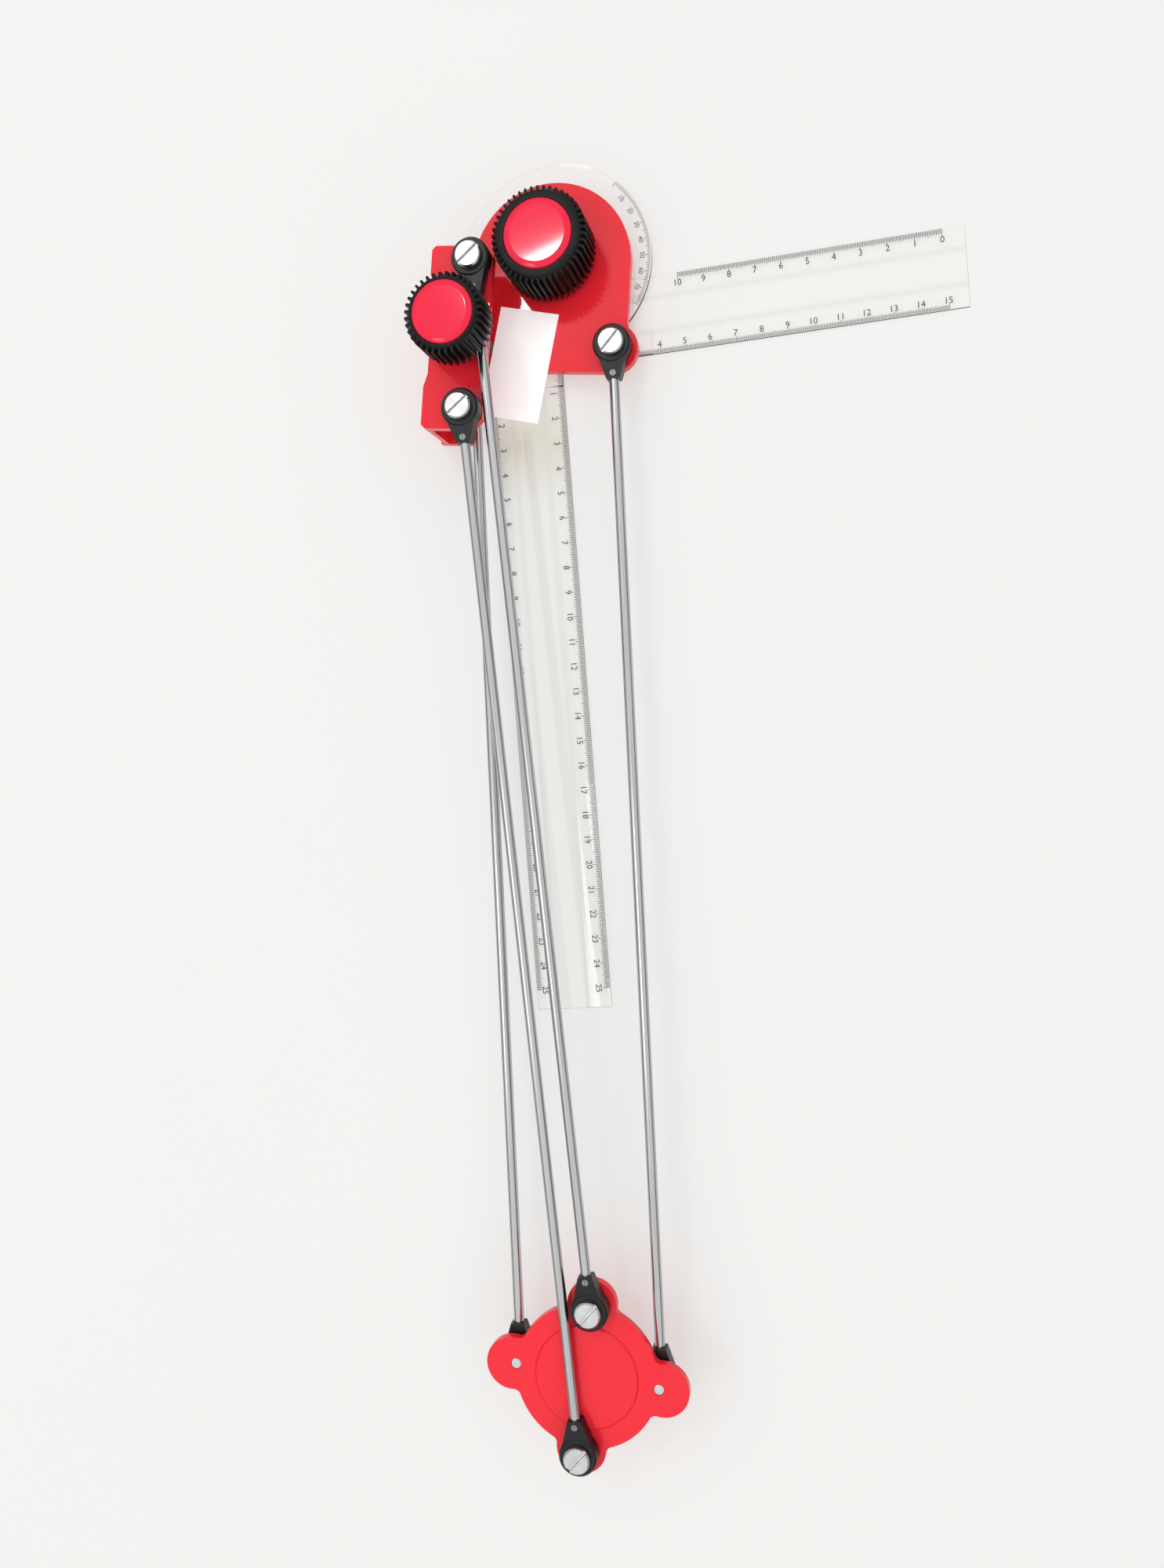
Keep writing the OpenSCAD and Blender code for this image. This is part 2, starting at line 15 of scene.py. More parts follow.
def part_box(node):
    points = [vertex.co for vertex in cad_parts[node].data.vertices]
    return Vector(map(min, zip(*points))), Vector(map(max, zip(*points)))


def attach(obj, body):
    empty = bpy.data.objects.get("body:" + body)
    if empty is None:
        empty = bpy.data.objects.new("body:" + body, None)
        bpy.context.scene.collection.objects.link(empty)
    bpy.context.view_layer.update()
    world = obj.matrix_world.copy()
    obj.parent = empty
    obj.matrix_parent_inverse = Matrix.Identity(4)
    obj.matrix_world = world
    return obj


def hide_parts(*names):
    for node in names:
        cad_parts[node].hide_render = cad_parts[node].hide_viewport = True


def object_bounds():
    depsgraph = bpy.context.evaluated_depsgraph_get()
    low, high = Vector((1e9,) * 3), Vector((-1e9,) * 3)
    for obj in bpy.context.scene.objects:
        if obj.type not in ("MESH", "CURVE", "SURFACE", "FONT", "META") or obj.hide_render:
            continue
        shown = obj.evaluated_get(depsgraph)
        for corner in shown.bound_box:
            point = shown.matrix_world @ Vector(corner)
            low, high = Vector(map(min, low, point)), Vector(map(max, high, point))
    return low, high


bl_info = {
    "name": "Drafting machine dressing",
    "version": (1, 0, 0),
    "blender": (4, 5, 0),
    "location": "View3D > Sidebar > Drafting machine",
    "description": "Finishes, knobs, graduations and studio for a folding drafting machine",
    "category": "Object",
}

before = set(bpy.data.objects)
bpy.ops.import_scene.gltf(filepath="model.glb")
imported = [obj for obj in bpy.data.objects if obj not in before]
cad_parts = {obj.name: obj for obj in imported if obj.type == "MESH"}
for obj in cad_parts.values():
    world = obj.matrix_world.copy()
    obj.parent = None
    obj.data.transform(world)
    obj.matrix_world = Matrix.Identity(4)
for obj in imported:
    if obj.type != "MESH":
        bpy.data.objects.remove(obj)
CAD_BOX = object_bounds()
MM = 0.001

# The disc's box, taken before its faces are drawn in
DISC_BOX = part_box("protractor_disc")

# The square: inner corner, blade width and thickness, and the bevel along each edge
CORNER = (-1.1 * MM, -40.6 * MM)
BLADE_W = 30.5 * MM
BLADE_T = 2.5 * MM
EDGE_T = 1.2 * MM
BEVEL_W = 8.6 * MM

# Centimetres on the long blade's two edges and on the short blade's inner and outer edge, and
# the x at which the lines of that outer edge start
LONG_CM = 25
SHORT_CM = 15
OUTER_CM = 10
OUTER_START = 48 * MM

# Lengths of the lines at 10, 5, 1 and 0.5 mm in millimetres, and their distance from the edge
LINES = (3.0, 2.6, 2.2, 1.7)
SHORT_LINES = (1.9, 1.8, 1.6, 1.3)
LINE_INSET = 0.1 * MM

# Distance from the edge to the middle of its numbers
LONG_INNER_NUMBERS = 4.4 * MM
LONG_OUTER_NUMBERS = 3.9 * MM
SHORT_INNER_NUMBERS = 3.3 * MM
SHORT_OUTER_NUMBERS = 4.3 * MM

FONT_SIZE = 1.38  # font size that makes a digit one unit high

# The arc on the disc: its degrees, the angle of its zero, the lengths of the lines at 10, 5 and
# 1 degrees in millimetres, the gap to the rim and the radius of the numbers
ARC_DEGREES = 80
ARC_ZERO = 45.8
ARC_LINES = (2.3, 1.8, 1.2)
ARC_GAP = 0.5 * MM
ARC_NUMBERS = 35.2 * MM

# Knobs in millimetres: the recess round a cap and its depth, the wall of the skirt, and how far
# the hollow and the bore end below the top
CAP_GAP = 0.05
CAP_SINK = 1.2
SKIRT_WALL = 2.6
HOLLOW_END = 5.0
BORE_END = 3.6

# Points round a knob for each rib, and how steep and how narrow the ribs are
RIB_POINTS = 12
RIB_STEEP = 9
RIB_NARROW = 0.12

# Points round a cap, and the width of its slanted rim in millimetres
CAP_POINTS = 160
CAP_RIM = 1.15

# Painted shade on the long blade below the head, where the head's shadow falls: its middle and half
# width
HEAD_SHADE_Y = -70.0 * MM
HEAD_SHADE_REACH = 24.0 * MM

# What is left of the clear plastic's colour in the painted shade below the head, and in the painted
# shade along the creases of the bevels
HEAD_SHADE_TONE = (0.87, 0.84, 0.76)
CREASE_SHADE_TONE = (0.92, 0.92, 0.92)

FINE = 0.02 * MM  # depth of fine lines and scratches
CARD_PAINTED_LIGHT = 0.30  # painted light: a glow of the tag's white card, which is no lamp
ORIGIN = Vector((0, 0, 0))

# The studio in metres: the camera, half a side of the floor, and for each lamp where it hangs,
# how large it is and how far it is slanted, in degrees
CAMERA_PLACE = Vector((99.05, -203.11, 481.99)) * MM
FLOOR_HALF = 2.0
KEY_LAMP = ((-0.72, -0.45, 1.6), (0.45, 0.45), 0.0)
GLINT_LAMP = ((-0.338, 0.596, 1.5), (0.172, 0.06), 17.4)


# Settings that a user would change


def colour_setting(name, description, default):
    """A colour that can be picked."""
    return bpy.props.FloatVectorProperty(
        name=name, description=description, subtype="COLOR", default=default, min=0.0, max=1.0,
    )


def length_setting(name, description, default, low, high):
    """A length, given in millimetres."""
    return bpy.props.FloatProperty(
        name=name, description=description, default=default * MM, min=low * MM, max=high * MM,
        unit="LENGTH",
    )


class DraftingColours(bpy.types.PropertyGroup):
    """Base colours of the finishes, linear."""

    enamel: colour_setting("Enamel", "Gloss enamel on the castings", (0.94, 0.024, 0.042))
    enamel_shade: colour_setting(
        "Enamel shade", "Darker patches of the enamel", (0.91, 0.019, 0.034)
    )
    cap: colour_setting("Knob cap", "Glossy plastic caps on the knobs", (0.92, 0.014, 0.058))
    cap_shade: colour_setting(
        "Knob cap shade", "Darker swirls of the cap plastic", (0.88, 0.010, 0.048)
    )
    plastic: colour_setting("Black plastic", "Knobs and rod ends", (0.011, 0.0115, 0.012))
    # Lighter edges of the black plastic: partly wear, partly a painted edge highlight
    plastic_worn: colour_setting(
        "Worn black plastic", "Handled edges of the black plastic", (0.03, 0.03, 0.033)
    )
    rod: colour_setting("Rod steel", "Bright plated rods", (0.52, 0.52, 0.53))
    steel: colour_setting("Screw steel", "Turned and plated screws", (0.64, 0.64, 0.65))
    brass: colour_setting("Brass", "Inserts and the bush", (0.78, 0.57, 0.25))
    acrylic: colour_setting("Acrylic", "Tint of the clear scales", (0.99, 0.99, 0.985))
    ink: colour_setting("Ink", "Graduations and numbers", (0.03, 0.03, 0.032))
    card: colour_setting("Card", "The blank tag", (0.97, 0.96, 0.955))


class DraftingKnobs(bpy.types.PropertyGroup):
    """Sizes of the two ribbed knobs."""

    lock_ribs: bpy.props.IntProperty(
        name="Lock knob ribs", description="Number of ribs round the lock knob", default=46,
        min=12, max=90,
    )
    clamp_ribs: bpy.props.IntProperty(
        name="Clamp knob ribs", description="Number of ribs round the clamp knob", default=36,
        min=12, max=90,
    )
    rib_depth: length_setting(
        "Rib depth", "How far the ribs stand out of the skirt", 2.0, 0.2, 2.2
    )
    dome: length_setting(
        "Cap dome", "Rise of a cap from its rim to its middle", 0.01, 0.0, 0.6
    )


class DraftingScales(bpy.types.PropertyGroup):
    """Sizes of the graduations."""

    line: length_setting("Line width", "Width of a graduation line", 0.2, 0.05, 0.4)
    digit: length_setting("Digit height", "Height of the numbers on the blades", 2.5, 1.0, 4.0)
    disc_digit: length_setting(
        "Disc digit height", "Height of the numbers on the disc", 1.9, 1.0, 3.0
    )
    film: length_setting("Ink film", "Thickness of the ink on the clear plastic", 0.03, 0.01, 0.1)


class DraftingStage(bpy.types.PropertyGroup):
    """Floor, lamps and camera."""

    floor: colour_setting("Floor", "Colour of the plain floor", (0.885, 0.885, 0.868))
    glow: bpy.props.FloatProperty(
        name="Floor glow", description="Share of the floor's brightness that is its own soft light",
        default=0.5, min=0.0, max=1.0,
    )
    sky: bpy.props.FloatProperty(
        name="Sky", description="Strength of the soft light from above", default=1.06,
        min=0.0, max=2.0,
    )
    horizon: bpy.props.FloatProperty(
        name="Horizon", description="Strength of the light from low down", default=0.16,
        min=0.0, max=2.0,
    )
    key: bpy.props.FloatProperty(
        name="Key lamp", description="Power of the main lamp", default=2.6,
        min=0.0, max=100.0, subtype="POWER",
    )
    glint: bpy.props.FloatProperty(
        name="Glint lamp", description="Power of the small lamp behind the glints", default=2.0,
        min=0.0, max=10.0, subtype="POWER",
    )
    lens: bpy.props.FloatProperty(
        name="Lens", description="Focal length of the camera", default=27.971, min=10.0, max=200.0,
        subtype="DISTANCE_CAMERA",
    )


# Surfaces computed with numpy


def add_mesh(name, verts, faces, body, slot, material, smooth_angle=40.0):
    """Makes a mesh object from an (n, 3) array and a list of faces, and lets it ride on a body."""
    mesh = bpy.data.meshes.new(name)
    mesh.from_pydata(np.asarray(verts, float).tolist(), [], faces)
    mesh.validate()
    mesh.shade_smooth()
    mesh.set_sharp_from_angle(angle=math.radians(smooth_angle))
    mesh.materials.append(material)
    piece = bpy.data.objects.new(name, mesh)
    bpy.context.scene.collection.objects.link(piece)
    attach(piece, body)
    return piece


def turned_surface(profile, columns, swell=None):
    """Points and faces of a profile turned round +Z.

    profile is an (n, 2) array of radius and height that starts and ends on the axis, outside first
    going down. Point (i, j) is (r cos t, r sin t, z) with t = 2 pi j / columns, where r is
    profile radius i plus swell[i, j]. The two ends on the axis are single points.
    """
    profile = np.asarray(profile, float)
    turn = 2 * np.pi * np.arange(columns) / columns
    rings = profile[1:-1]
    radius = np.repeat(rings[:, :1], columns, axis=1)
    if swell is not None:
        radius = radius + swell
    x = radius * np.cos(turn)
    y = radius * np.sin(turn)
    z = np.repeat(rings[:, 1:2], columns, axis=1)
    body = np.stack([x, y, z], axis=-1).reshape(-1, 3)
    verts = np.vstack([body, [[0, 0, profile[0, 1]], [0, 0, profile[-1, 1]]]])
    n = len(rings)
    i, j = np.meshgrid(np.arange(n - 1), np.arange(columns), indexing="ij")
    k = (j + 1) % columns
    here, below = i * columns, (i + 1) * columns
    quads = np.stack([here + j, below + j, below + k, here + k], axis=-1)
    cols = np.arange(columns)
    nxt = (cols + 1) % columns
    first = np.stack([np.full(columns, n * columns), cols, nxt], axis=-1)
    last_row = (n - 1) * columns
    last = np.stack([np.full(columns, n * columns + 1), last_row + nxt, last_row + cols], axis=-1)
    faces = quads.reshape(-1, 4).tolist() + first.tolist() + last.tolist()
    return verts, faces


def boxes(low, high, lift_low, lift_high, film):
    """Points and faces of thin bars, all as one array.

    Bar i covers low[i] to high[i] on the plane. Its underside follows the heights lift_low[i] at
    its low end and lift_high[i] at its high end, along whichever side is longer, and its top is
    one film higher.
    """
    low, high = np.asarray(low, float), np.asarray(high, float)
    size = high - low
    along_x = size[:, 0] > size[:, 1]
    corner = np.array([[0, 0], [1, 0], [1, 1], [0, 1]], float)
    flat = low[:, None, :] + corner[None] * size[:, None, :]
    share = np.where(along_x[:, None], corner[None, :, 0], corner[None, :, 1])
    base = lift_low[:, None] + share * (lift_high - lift_low)[:, None]
    under = np.concatenate([flat, base[..., None]], axis=-1)
    over = np.concatenate([flat, (base + film)[..., None]], axis=-1)
    verts = np.concatenate([under, over], axis=1).reshape(-1, 3)
    bar = np.array(
        [[3, 2, 1, 0], [4, 5, 6, 7], [0, 1, 5, 4], [1, 2, 6, 5], [2, 3, 7, 6], [3, 0, 4, 7]]
    )
    faces = (bar[None] + 8 * np.arange(len(low))[:, None, None]).reshape(-1, 4)
    return verts, faces.tolist()


def digits_mesh(text, height, film):
    """Points and faces of a number written with Blender's own font, centred, lying on z = 0.

    The font's outline is filled and extruded half a film each way, and lifted by half a film.
    """
    curve = bpy.data.curves.new("digits", "FONT")
    curve.body = text
    curve.size = height * FONT_SIZE
    curve.align_x = "CENTER"
    curve.align_y = "CENTER"
    curve.extrude = film / 2
    curve.resolution_u = 3
    holder = bpy.data.objects.new("digits", curve)
    bpy.context.scene.collection.objects.link(holder)
    bpy.context.view_layer.update()
    depsgraph = bpy.context.evaluated_depsgraph_get()
    mesh = bpy.data.meshes.new_from_object(holder.evaluated_get(depsgraph))
    verts = np.zeros(len(mesh.vertices) * 3)
    mesh.vertices.foreach_get("co", verts)
    verts = verts.reshape(-1, 3)
    faces = [list(p.vertices) for p in mesh.polygons]
    middle = (verts.min(0) + verts.max(0)) / 2
    verts = verts - [middle[0], middle[1], middle[2] - film / 2]
    bpy.data.objects.remove(holder)
    bpy.data.curves.remove(curve)
    bpy.data.meshes.remove(mesh)
    return verts, faces


def gather(parts):
    """Joins (points, faces) pairs into one pair, with each pair's face numbers moved up."""
    verts, faces, start = [], [], 0
    for v, f in parts:
        verts.append(v)
        faces.extend([[start + k for k in face] for face in f])
        start += len(v)
    return np.vstack(verts), faces


# Node groups that more than one finish uses


def new_group(name, inputs, outputs):
    """A shader node group with its named sockets, and its input and output nodes."""
    group = bpy.data.node_groups.new(name, "ShaderNodeTree")
    for label, kind, default in inputs:
        socket = group.interface.new_socket(name=label, in_out="INPUT", socket_type=kind)
        if default is not None:
            socket.default_value = default
    for label, kind in outputs:
        group.interface.new_socket(name=label, in_out="OUTPUT", socket_type=kind)
    start = group.nodes.new("NodeGroupInput")
    end = group.nodes.new("NodeGroupOutput")
    return group, start, end


def feed(tree, value, socket):
    """Links an output socket to an input, or sets a plain number or colour on it."""
    if isinstance(value, bpy.types.NodeSocket):
        tree.links.new(value, socket)
    else:
        socket.default_value = value


def math_node(tree, operation, a, b=None, clamp=False):
    """A Math node whose inputs are sockets or numbers; returns its output socket."""
    node = tree.nodes.new("ShaderNodeMath")
    node.operation = operation
    node.use_clamp = clamp
    feed(tree, a, node.inputs[0])
    if b is not None:
        feed(tree, b, node.inputs[1])
    return node.outputs[0]


def vector_node(tree, operation, a, b=None):
    """A Vector Math node whose inputs are sockets or plain vectors; returns the node."""
    node = tree.nodes.new("ShaderNodeVectorMath")
    node.operation = operation
    feed(tree, a, node.inputs[0])
    if b is not None:
        feed(tree, b, node.inputs[1])
    return node


def noise_node(tree, vector, scale, detail=2.0, roughness=0.5):
    """A noise texture's value on a vector socket."""
    node = tree.nodes.new("ShaderNodeTexNoise")
    tree.links.new(vector, node.inputs["Vector"])
    feed(tree, scale, node.inputs["Scale"])
    node.inputs["Detail"].default_value = detail
    node.inputs["Roughness"].default_value = roughness
    return node.outputs["Fac"]


def mix_colour(tree, fac, a, b):
    """A mix from colour a to colour b, each a socket or plain; returns its output socket."""
    node = tree.nodes.new("ShaderNodeMix")
    node.data_type = "RGBA"
    feed(tree, fac, node.inputs["Factor"])
    feed(tree, a, node.inputs[6])
    feed(tree, b, node.inputs[7])
    return node.outputs[2]


def blotch_group():
    """Broad colour patches, a roughness that wanders and a fine grain height."""
    group, start, end = new_group(
        "Blotch and grain",
        [
            ("Vector", "NodeSocketVector", None),
            ("Colour", "NodeSocketColor", None),
            ("Shade", "NodeSocketColor", None),
            ("Patch Scale", "NodeSocketFloat", 60.0),
            ("Grain Scale", "NodeSocketFloat", 1500.0),
            ("Roughness", "NodeSocketFloat", 0.3),
            ("Spread", "NodeSocketFloat", 0.1),
        ],
        [("Colour", "NodeSocketColor"), ("Roughness", "NodeSocketFloat"),
         ("Height", "NodeSocketFloat")],
    )
    patch = noise_node(group, start.outputs["Vector"], start.outputs["Patch Scale"], 3.0, 0.55)
    grain = noise_node(group, start.outputs["Vector"], start.outputs["Grain Scale"], 2.0, 0.6)
    fac = math_node(group, "MULTIPLY", math_node(group, "SUBTRACT", patch, 0.35, True), 1.6, True)
    colour = mix_colour(group, fac, start.outputs["Colour"], start.outputs["Shade"])
    centred = math_node(group, "SUBTRACT", patch, 0.5)
    wander = math_node(group, "MULTIPLY", centred, start.outputs["Spread"])
    doubled = math_node(group, "MULTIPLY", wander, 2.0)
    rough = math_node(group, "ADD", start.outputs["Roughness"], doubled, True)
    group.links.new(colour, end.inputs["Colour"])
    group.links.new(rough, end.inputs["Roughness"])
    group.links.new(grain, end.inputs["Height"])
    return group


def edge_group():
    """A mask that is 1 along rounded or sharp edges: how far the bevelled normal turns away.
    Finishes lighten their edges with it, partly as wear and partly as a painted highlight.
    """
    group, start, end = new_group(
        "Edge wear and sheen",
        [("Vector", "NodeSocketVector", None), ("Width", "NodeSocketFloat", 0.0006),
         ("Patch Scale", "NodeSocketFloat", 400.0)],
        [("Mask", "NodeSocketFloat")],
    )
    bevel = group.nodes.new("ShaderNodeBevel")
    bevel.samples = 4
    group.links.new(start.outputs["Width"], bevel.inputs["Radius"])
    geometry = group.nodes.new("ShaderNodeNewGeometry")
    normals = (bevel.outputs["Normal"], geometry.outputs["Normal"])
    dot = vector_node(group, "DOT_PRODUCT", *normals)
    away = math_node(group, "SUBTRACT", 1.0, dot.outputs["Value"])
    edge = math_node(group, "MULTIPLY", away, 6.0, True)
    rub = noise_node(group, start.outputs["Vector"], start.outputs["Patch Scale"], 3.0, 0.6)
    group.links.new(math_node(group, "MULTIPLY", edge, rub, True), end.inputs["Mask"])
    return group


def drawn_group():
    """Long fine lines along a drawn bar, from noise squeezed across it, and broad darker bands
    along it that are partly a painted reflection.
    """
    group, start, end = new_group(
        "Drawn lines",
        [("Vector", "NodeSocketVector", None), ("Roughness", "NodeSocketFloat", 0.15)],
        [("Roughness", "NodeSocketFloat"), ("Shade", "NodeSocketFloat"),
         ("Height", "NodeSocketFloat")],
    )
    mapping = group.nodes.new("ShaderNodeMapping")
    mapping.inputs["Scale"].default_value = (1.0, 0.012, 1.0)
    group.links.new(start.outputs["Vector"], mapping.inputs["Vector"])
    lines = noise_node(group, mapping.outputs["Vector"], 2600.0, 3.0, 0.6)
    bands = noise_node(group, mapping.outputs["Vector"], 700.0, 2.0, 0.5)
    wander = math_node(group, "MULTIPLY", lines, 0.12)
    rough = math_node(group, "ADD", start.outputs["Roughness"], wander, True)
    group.links.new(rough, end.inputs["Roughness"])
    group.links.new(bands, end.inputs["Shade"])
    group.links.new(lines, end.inputs["Height"])
    return group


def turned_group():
    """Concentric lines of a lathe tool round the nearer of two upright axes.

    The height is (1 + sin(2 pi d / pitch)) / 2, with d the flat distance to the nearer axis.
    """
    group, start, end = new_group(
        "Turned lines",
        [("Vector", "NodeSocketVector", None), ("Centre A", "NodeSocketVector", None),
         ("Centre B", "NodeSocketVector", None), ("Pitch", "NodeSocketFloat", 0.00025)],
        [("Height", "NodeSocketFloat")],
    )
    reach = []
    for name in ("Centre A", "Centre B"):
        away = vector_node(group, "SUBTRACT", start.outputs["Vector"], start.outputs[name])
        flat = vector_node(group, "MULTIPLY", away.outputs[0], (1.0, 1.0, 0.0))
        reach.append(vector_node(group, "LENGTH", flat.outputs[0]).outputs["Value"])
    near = math_node(group, "MINIMUM", reach[0], reach[1])
    turns = math_node(group, "DIVIDE", near, start.outputs["Pitch"])
    wave = math_node(group, "SINE", math_node(group, "MULTIPLY", turns, 2 * math.pi))
    lifted = math_node(group, "ADD", wave, 1.0)
    group.links.new(math_node(group, "MULTIPLY", lifted, 0.5), end.inputs["Height"])
    return group


def crease_group():
    """Masks of painted shade on the square: soft lines along the crease of each bevel, and a zone
    below the head where its shadow falls.

    On the long blade the crease mask is 1 - |x - c| / w for the nearer crease x = c, on the short
    blade the same with y, and each holds only where its blade lies. The larger of the two counts.
    The mask below the head is 1 - |y - middle| / half width of that painted shade, on the long
    blade.
    """
    group, start, end = new_group(
        "Crease and head shade",
        [("Vector", "NodeSocketVector", None), ("Width", "NodeSocketFloat", 0.0014)],
        [("Mask", "NodeSocketFloat"), ("Head Shade", "NodeSocketFloat")],
    )
    split = group.nodes.new("ShaderNodeSeparateXYZ")
    group.links.new(start.outputs["Vector"], split.inputs[0])
    x0, y0 = CORNER
    arms = (
        ("X", (x0 - BEVEL_W, x0 - BLADE_W + BEVEL_W), "Y", "LESS_THAN", y0),
        ("Y", (y0 + BEVEL_W, y0 + BLADE_W - BEVEL_W), "X", "GREATER_THAN", -x0),
    )
    masks = []
    for axis, creases, other, side, limit in arms:
        away = [
            math_node(group, "ABSOLUTE", math_node(group, "SUBTRACT", split.outputs[axis], crease))
            for crease in creases
        ]
        nearer = math_node(group, "MINIMUM", *away)
        share = math_node(group, "DIVIDE", nearer, start.outputs["Width"])
        line = math_node(group, "SUBTRACT", 1.0, share, True)
        inside = math_node(group, side, split.outputs[other], limit)
        masks.append(math_node(group, "MULTIPLY", line, inside))
    group.links.new(math_node(group, "MAXIMUM", *masks), end.inputs["Mask"])
    # Painted shade below the head on the long blade, fading out over its half width
    away = math_node(group, "ABSOLUTE", math_node(group, "SUBTRACT", split.outputs["Y"], HEAD_SHADE_Y))
    head_shade = math_node(group, "SUBTRACT", 1.0, math_node(group, "DIVIDE", away, HEAD_SHADE_REACH), True)
    on_long = math_node(group, "LESS_THAN", split.outputs["X"], x0)
    group.links.new(math_node(group, "MULTIPLY", head_shade, on_long), end.inputs["Head Shade"])
    return group


GROUPS = {}


def shared(name):
    """The node group of that name, built the first time it is asked for."""
    builders = {
        "blotch": blotch_group, "edge": edge_group, "drawn": drawn_group, "turned": turned_group,
        "crease": crease_group,
    }
    if name not in GROUPS:
        GROUPS[name] = builders[name]()
    return GROUPS[name]


# Finishes


def new_finish(name):
    """A material with its tree, its Principled BSDF and the Object coordinates."""
    material = bpy.data.materials.new(name)
    material.use_nodes = True
    tree = material.node_tree
    shader = tree.nodes["Principled BSDF"]
    coords = tree.nodes.new("ShaderNodeTexCoord")
    return material, tree, shader, coords.outputs["Object"]


def place_group(tree, name, vector, values):
    """Puts a shared group in a material with its own values."""
    node = tree.nodes.new("ShaderNodeGroup")
    node.node_tree = shared(name)
    tree.links.new(vector, node.inputs["Vector"])
    for label, value in values.items():
        node.inputs[label].default_value = value
    return node


def bump(tree, shader, height, strength, distance):
    """A Bump node between a height and the shader's normal."""
    node = tree.nodes.new("ShaderNodeBump")
    node.inputs["Strength"].default_value = strength
    node.inputs["Distance"].default_value = distance
    tree.links.new(height, node.inputs["Height"])
    tree.links.new(node.outputs["Normal"], shader.inputs["Normal"])


def rgba(colour):
    """A colour property as four numbers."""
    return (*colour, 1.0)


def toned(colour, share):
    """A colour with each of its channels times a share."""
    return [channel * share for channel in colour]


def painted(
    name, colour, shade, *, roughness, patch, grain, depth=0.03 * MM, spread=0.10, coat=0.0,
    edge_wear_and_sheen=None, shine=0.3,
):
    """Paint or plastic: patches of two tones, an orange-peel grain, and lighter edges where given,
    partly wear and partly a painted edge highlight.
    """
    material, tree, shader, vector = new_finish(name)
    look = place_group(tree, "blotch", vector, {
        "Colour": rgba(colour), "Shade": rgba(shade), "Patch Scale": patch, "Grain Scale": grain,
        "Roughness": roughness, "Spread": spread,
    })
    out = look.outputs["Colour"]
    if edge_wear_and_sheen is not None:
        edge = place_group(tree, "edge", vector, {"Width": 0.5 * MM, "Patch Scale": 500.0})
        out = mix_colour(tree, edge.outputs["Mask"], out, rgba(edge_wear_and_sheen))
    tree.links.new(out, shader.inputs["Base Color"])
    tree.links.new(look.outputs["Roughness"], shader.inputs["Roughness"])
    shader.inputs["Specular IOR Level"].default_value = shine
    shader.inputs["Coat Weight"].default_value = coat
    shader.inputs["Coat Roughness"].default_value = 0.05
    bump(tree, shader, look.outputs["Height"], 0.25, depth)
    return material


def rod_steel(name, colour):
    """Bright plated bar with fine lines along it, and darker bands along it, partly tone and partly
    a painted reflection.
    """
    material, tree, shader, vector = new_finish(name)
    lines = place_group(tree, "drawn", vector, {"Roughness": 0.13})
    # Darker bands along the rod: partly tone, partly painted reflection streaks
    bands = math_node(tree, "MULTIPLY", lines.outputs["Shade"], 1.7, True)
    out = mix_colour(tree, bands, rgba(toned(colour, 0.72)), rgba(colour))
    tree.links.new(out, shader.inputs["Base Color"])
    tree.links.new(lines.outputs["Roughness"], shader.inputs["Roughness"])
    shader.inputs["Metallic"].default_value = 1.0
    bump(tree, shader, lines.outputs["Height"], 0.15, FINE)
    return material


def turned_steel(name, colour, centres, roughness=0.24):
    """Turned metal with lathe lines round its screws' axes."""
    material, tree, shader, vector = new_finish(name)
    look = place_group(tree, "blotch", vector, {
        "Colour": rgba(colour), "Shade": rgba(toned(colour, 0.8)), "Patch Scale": 300.0,
        "Grain Scale": 3000.0, "Roughness": roughness, "Spread": 0.12,
    })
    ends = {"Centre A": centres[0], "Centre B": centres[-1]}
    rings = place_group(tree, "turned", vector, ends)
    tree.links.new(look.outputs["Colour"], shader.inputs["Base Color"])
    tree.links.new(look.outputs["Roughness"], shader.inputs["Roughness"])
    shader.inputs["Metallic"].default_value = 1.0
    bump(tree, shader, rings.outputs["Height"], 0.35, FINE)
    return material


def clear_plastic(name, tint):
    """Clear acrylic with fine scratches that lets shadow and diffuse rays straight through, with
    painted shade along the bevel creases and below the head.
    """
    material, tree, shader, vector = new_finish(name)
    look = place_group(tree, "blotch", vector, {
        "Colour": rgba(tint), "Shade": rgba(toned(tint, 0.985)), "Patch Scale": 40.0,
        "Grain Scale": 900.0, "Roughness": 0.03, "Spread": 0.03,
    })
    shade_masks = place_group(tree, "crease", vector, {"Width": 2.0 * MM})
    out = look.outputs["Colour"]
    # Darkens the tint where shade is painted: along the bevel creases and below the head
    for mask, share in (("Mask", CREASE_SHADE_TONE), ("Head Shade", HEAD_SHADE_TONE)):
        tone = rgba([c * s for c, s in zip(tint, share)])
        out = mix_colour(tree, shade_masks.outputs[mask], out, tone)
    tree.links.new(out, shader.inputs["Base Color"])
    tree.links.new(look.outputs["Roughness"], shader.inputs["Roughness"])
    shader.inputs["Transmission Weight"].default_value = 1.0
    shader.inputs["IOR"].default_value = 1.49
    bump(tree, shader, look.outputs["Height"], 0.05, FINE)
    path = tree.nodes.new("ShaderNodeLightPath")
    through = tree.nodes.new("ShaderNodeBsdfTransparent")
    through.inputs["Color"].default_value = rgba(tint)
    pick = tree.nodes.new("ShaderNodeMixShader")
    rays = (path.outputs["Is Shadow Ray"], path.outputs["Is Diffuse Ray"])
    soft = math_node(tree, "MAXIMUM", *rays)
    tree.links.new(soft, pick.inputs["Fac"])
    tree.links.new(shader.outputs["BSDF"], pick.inputs[1])
    tree.links.new(through.outputs["BSDF"], pick.inputs[2])
    tree.links.new(pick.outputs["Shader"], tree.nodes["Material Output"].inputs["Surface"])
    return material


